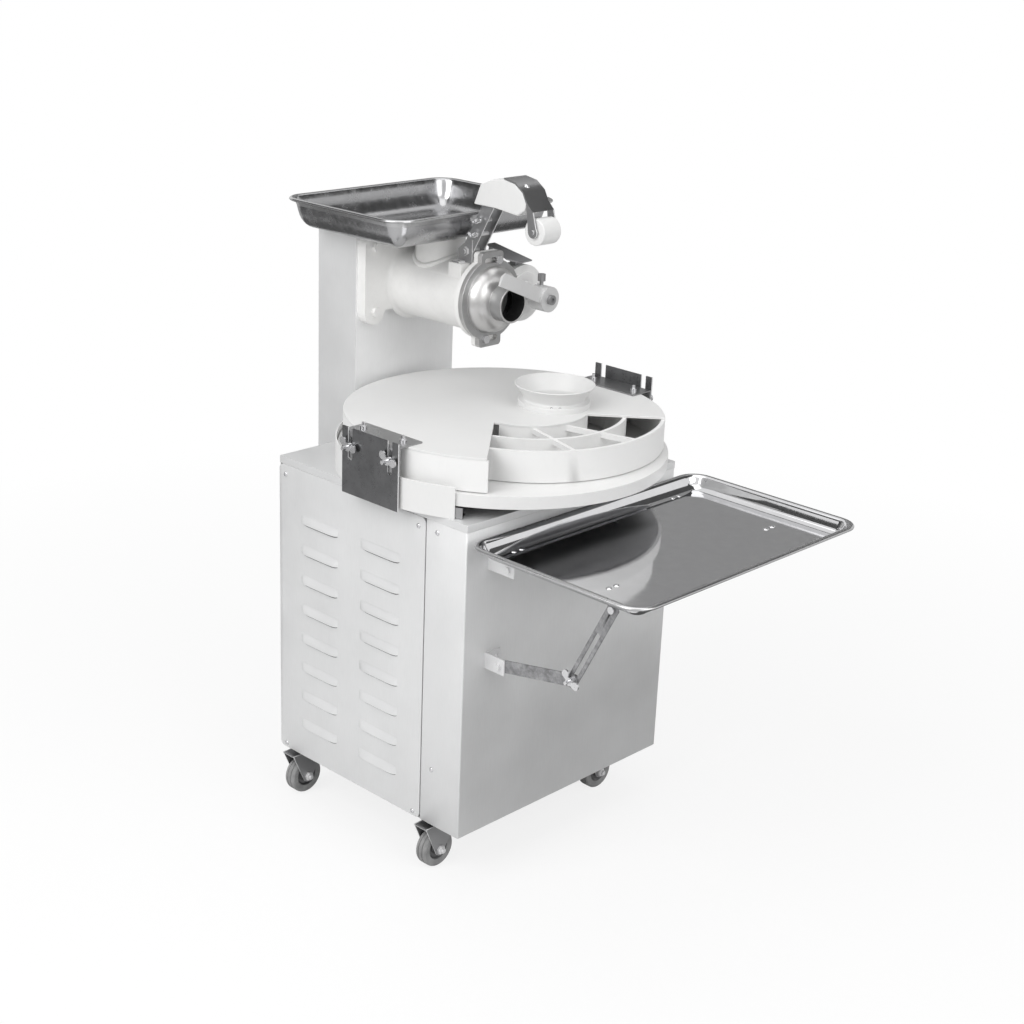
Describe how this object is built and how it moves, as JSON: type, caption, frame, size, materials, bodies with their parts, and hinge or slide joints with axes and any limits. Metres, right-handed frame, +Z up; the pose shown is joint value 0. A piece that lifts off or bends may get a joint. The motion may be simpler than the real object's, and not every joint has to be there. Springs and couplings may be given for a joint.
{
  "type": "divider rounder",
  "caption": "Dough divider and rounder on castors: pan hopper and screw barrel with a rotary knife above a spiral rounding track on a turning disc, with a tilting front tray.",
  "frame": {"origin": "on the floor below the middle of the machine's outline, front to back and side to side", "axes": "+Z up, -Y towards the front tray and the operator, +X to the operator's right"},
  "size_m": [0.7188, 1.111, 1.33],
  "materials": {
    "sheet_steel": "fine vertical brushing",
    "polished_steel": "bright polished sheet",
    "bright_steel": "turned and zinc plated",
    "brushed_nozzle": "turned, satin",
    "grey_steel": "satin plate",
    "dark_steel": "dark satin coating",
    "fork_steel": "dark plated pressing",
    "cast_grey": "machined casting",
    "white_casting": "smooth off-white coating",
    "white_plastic": "machined food-grade plastic",
    "bronze": "turned bush",
    "motor_paint": "motor enamel",
    "box_paint": "light grey enamel",
    "black_plastic": "moulded",
    "green_plastic": "moulded",
    "red_plastic": "moulded",
    "wheel_rubber": "grey tread"
  },
  "bodies": {
    "machine": {"frame": "dark_steel", "base_plate": "grey_steel", "top_plate": "sheet_steel", "front_panel": "sheet_steel", "left_panel": "sheet_steel", "right_panel": "sheet_steel", "back_panel": "sheet_steel", "panel_screws": "bright_steel", "castor_plates": "grey_steel", "column_shell": "sheet_steel", "column_cover": "sheet_steel", "barrel": "white_casting", "head_bolts": "bright_steel", "hopper": "polished_steel", "nozzle": "brushed_nozzle", "cutter_housing": "white_plastic", "cutter_guard": "grey_steel", "auger_bearing": "bronze", "arm_bracket": "dark_steel", "clamp_plates": "dark_steel", "guard_skirt": "white_plastic", "spindle_bearing": "cast_grey", "turntable_gearmotor": "motor_paint", "auger_gearmotor": "motor_paint", "knife_gearmotor": "motor_paint", "tray_brackets": "bright_steel", "control_box": "box_paint", "cable_gland": "black_plastic"},
    "track": {"track_cover": "white_plastic", "track_spiral": "white_plastic", "funnel": "white_plastic", "track_brackets": "dark_steel", "track_studs": "bright_steel"},
    "turntable": {"turntable": "white_plastic", "turntable_spindle": "bright_steel"},
    "auger": {"auger": "bright_steel"},
    "knife": {"knife_shaft": "bright_steel", "knife_hub": "brushed_nozzle", "knife_blade": "brushed_nozzle", "knife_screws": "bright_steel"},
    "duster_arm": {"arm_legs": "dark_steel", "duster_block": "white_plastic", "roller_strap": "dark_steel"},
    "roller": {"roller": "white_plastic"},
    "tray": {"front_tray": "polished_steel", "tray_lugs": "bright_steel"},
    "lower_arm": {"tray_lower_arm": "dark_steel"},
    "slotted_arm": {"tray_slotted_arm": "dark_steel"},
    "start_button": {"start_button": "green_plastic"},
    "stop_button": {"stop_button": "red_plastic"},
    "speed_knob": {"speed_knob": "black_plastic"},
    "castor_fork_fl": {"castor_fork_fl": "fork_steel"},
    "castor_wheel_fl": {"castor_wheel_fl": "wheel_rubber"},
    "castor_fork_fr": {"castor_fork_fr": "fork_steel"},
    "castor_wheel_fr": {"castor_wheel_fr": "wheel_rubber"},
    "castor_fork_bl": {"castor_fork_bl": "fork_steel"},
    "castor_wheel_bl": {"castor_wheel_bl": "wheel_rubber"},
    "castor_fork_br": {"castor_fork_br": "fork_steel"},
    "castor_wheel_br": {"castor_wheel_br": "wheel_rubber"}
  },
  "joints": [
    {"name": "track_height", "type": "slide", "parent": "machine", "child": "track", "axis": [0, 0, 1], "range_m": [0, 0.008]},
    {"name": "turntable_spin", "type": "hinge", "parent": "machine", "child": "turntable", "pos_m": [0, 0.0875, 0.805], "axis": [0, 0, 1], "continuous": true},
    {"name": "auger_spin", "type": "hinge", "parent": "machine", "child": "auger", "pos_m": [0.04, 0.3035, 1.075], "axis": [0, 1, 0], "continuous": true},
    {"name": "knife_spin", "type": "hinge", "parent": "machine", "child": "knife", "pos_m": [0.135, 0.2535, 1.075], "axis": [0, 1, 0], "continuous": true},
    {"name": "duster_lift", "type": "hinge", "parent": "machine", "child": "duster_arm", "pos_m": [0.026, 0.2155, 1.17], "axis": [-1, 0, 0], "range_deg": [0, 8]},
    {"name": "roller_spin", "type": "hinge", "parent": "duster_arm", "child": "roller", "pos_m": [0.026, 0.0295, 1.237], "axis": [1, 0, 0], "continuous": true},
    {"name": "tray_tilt", "type": "hinge", "parent": "machine", "child": "tray", "pos_m": [0, -0.1665, 0.669], "axis": [1, 0, 0], "range_deg": [0, 20]},
    {"name": "lower_arm_swing", "type": "hinge", "parent": "machine", "child": "lower_arm", "pos_m": [-0.237, -0.1515, 0.47], "axis": [1, 0, 0], "range_deg": [0, 2]},
    {"name": "slotted_arm_swing", "type": "hinge", "parent": "tray", "child": "slotted_arm", "pos_m": [-0.234, -0.4165, 0.669], "axis": [1, 0, 0], "range_deg": [-8.8, 0]},
    {"name": "start_press", "type": "slide", "parent": "machine", "child": "start_button", "axis": [-1, 0, 0], "range_m": [0, 0.004], "stiffness_N_per_m": 400, "springref_m": -0.003},
    {"name": "stop_press", "type": "slide", "parent": "machine", "child": "stop_button", "axis": [-1, 0, 0], "range_m": [0, 0.004], "stiffness_N_per_m": 400, "springref_m": -0.003},
    {"name": "speed_turn", "type": "hinge", "parent": "machine", "child": "speed_knob", "pos_m": [0.343, 0.2545, 0.693], "axis": [1, 0, 0], "range_deg": [-135, 135]},
    {"name": "castor_swivel_fl", "type": "hinge", "parent": "machine", "child": "castor_fork_fl", "pos_m": [-0.242, -0.0235, 0.105], "axis": [0, 0, 1], "continuous": true},
    {"name": "castor_roll_fl", "type": "hinge", "parent": "castor_fork_fl", "child": "castor_wheel_fl", "pos_m": [-0.272, -0.0235, 0.039], "axis": [0, 1, 0], "continuous": true},
    {"name": "castor_swivel_fr", "type": "hinge", "parent": "machine", "child": "castor_fork_fr", "pos_m": [0.242, -0.0235, 0.105], "axis": [0, 0, 1], "continuous": true},
    {"name": "castor_roll_fr", "type": "hinge", "parent": "castor_fork_fr", "child": "castor_wheel_fr", "pos_m": [0.212, -0.0235, 0.039], "axis": [0, 1, 0], "continuous": true},
    {"name": "castor_swivel_bl", "type": "hinge", "parent": "machine", "child": "castor_fork_bl", "pos_m": [-0.242, 0.3855, 0.105], "axis": [0, 0, 1], "continuous": true},
    {"name": "castor_roll_bl", "type": "hinge", "parent": "castor_fork_bl", "child": "castor_wheel_bl", "pos_m": [-0.272, 0.3855, 0.039], "axis": [0, 1, 0], "continuous": true},
    {"name": "castor_swivel_br", "type": "hinge", "parent": "machine", "child": "castor_fork_br", "pos_m": [0.242, 0.3855, 0.105], "axis": [0, 0, 1], "continuous": true},
    {"name": "castor_roll_br", "type": "hinge", "parent": "castor_fork_br", "child": "castor_wheel_br", "pos_m": [0.212, 0.3855, 0.039], "axis": [0, 1, 0], "continuous": true}
  ],
  "couplings": [
    {"joint": "lower_arm_swing", "follows": "tray_tilt", "ratio": 0.1},
    {"joint": "slotted_arm_swing", "follows": "tray_tilt", "ratio": -0.44}
  ]
}
